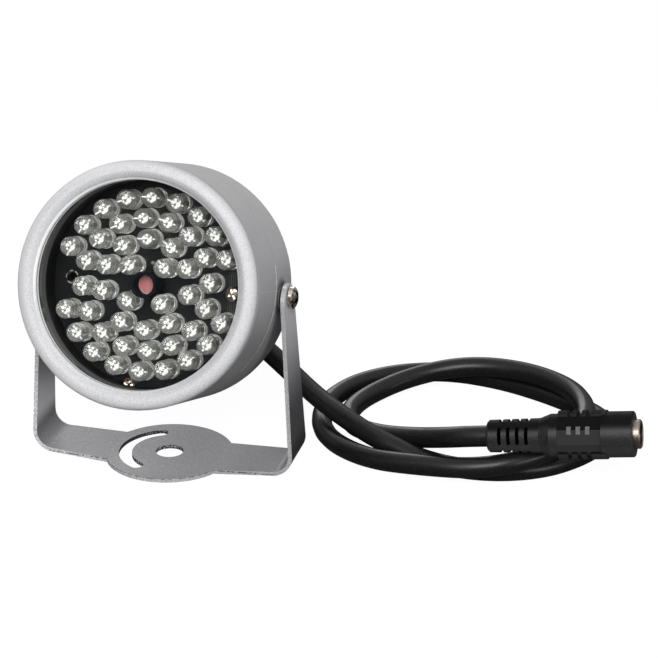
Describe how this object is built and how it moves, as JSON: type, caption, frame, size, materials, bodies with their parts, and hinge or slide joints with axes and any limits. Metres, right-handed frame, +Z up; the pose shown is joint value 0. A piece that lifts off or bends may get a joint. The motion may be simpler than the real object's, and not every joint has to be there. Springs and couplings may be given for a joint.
{
  "type": "infrared illuminator",
  "caption": "Round infrared flood lamp with clear emitters behind glass, tilting on a folded sheet bracket, with a lead that ends in a DC jack.",
  "frame": {"origin": "centre of the mounting hole in the bracket's foot, on its underside", "axes": "+Z up out of the foot, -Y the way the lamp faces, +X along the tilt axis towards the side where the lead lies"},
  "size_m": [0.1515, 0.0962, 0.0815],
  "materials": {
    "bracket_paint": "silver hammered powder coat on sheet steel",
    "housing_paint": "silver powder coat on cast aluminium",
    "window_glass": "clear, polished",
    "emitter_epoxy": "water-clear epoxy over a bright cup",
    "board_black": "black solder mask",
    "black_plastic": "moulded, matt",
    "sensor_face": "salmon cell under clear resin",
    "chip_black": "moulded package",
    "screw_nickel": "nickel plated",
    "seal_rubber": "matt",
    "cord_black": "smooth, half gloss",
    "jack_black": "fine matt moulding",
    "contact_nickel": "nickel plated, bright",
    "wire_red": "insulation",
    "wire_black": "insulation"
  },
  "bodies": {
    "bracket": {"bracket": "bracket_paint", "cord_flex": "cord_black", "cord_run": "cord_black", "jack_body": "jack_black", "jack_collar": "contact_nickel", "jack_insulator": "black_plastic", "jack_pin": "contact_nickel"},
    "head": {"front_housing": "housing_paint", "rear_cover": "housing_paint", "housing_seal": "seal_rubber", "glass_gasket": "seal_rubber", "front_glass": "window_glass", "spacer_ring": "black_plastic", "led_board": "board_black", "emitters_outer": "emitter_epoxy", "emitters_second": "emitter_epoxy", "emitters_third": "emitter_epoxy", "emitters_inner": "emitter_epoxy", "photocell": "sensor_face", "photocell_sleeve": "black_plastic", "sensor_resistor": "chip_black", "drive_transistor": "chip_black", "ballast_resistors": "chip_black", "board_screws": "screw_nickel", "housing_screws": "screw_nickel", "pivot_screw_left": "screw_nickel", "pivot_screw_right": "screw_nickel", "pivot_spacer_left": "black_plastic", "pivot_spacer_right": "black_plastic", "cable_boot": "seal_rubber", "cable_tie": "black_plastic", "cord_tail": "cord_black", "lead_red": "wire_red", "lead_black": "wire_black"}
  },
  "joints": [
    {"name": "lamp_tilt", "type": "hinge", "parent": "bracket", "child": "head", "pos_m": [0, 0, 0.0455], "axis": [-1, 0, 0], "range_deg": [-109, 70], "deforming": ["cord_flex"]}
  ]
}
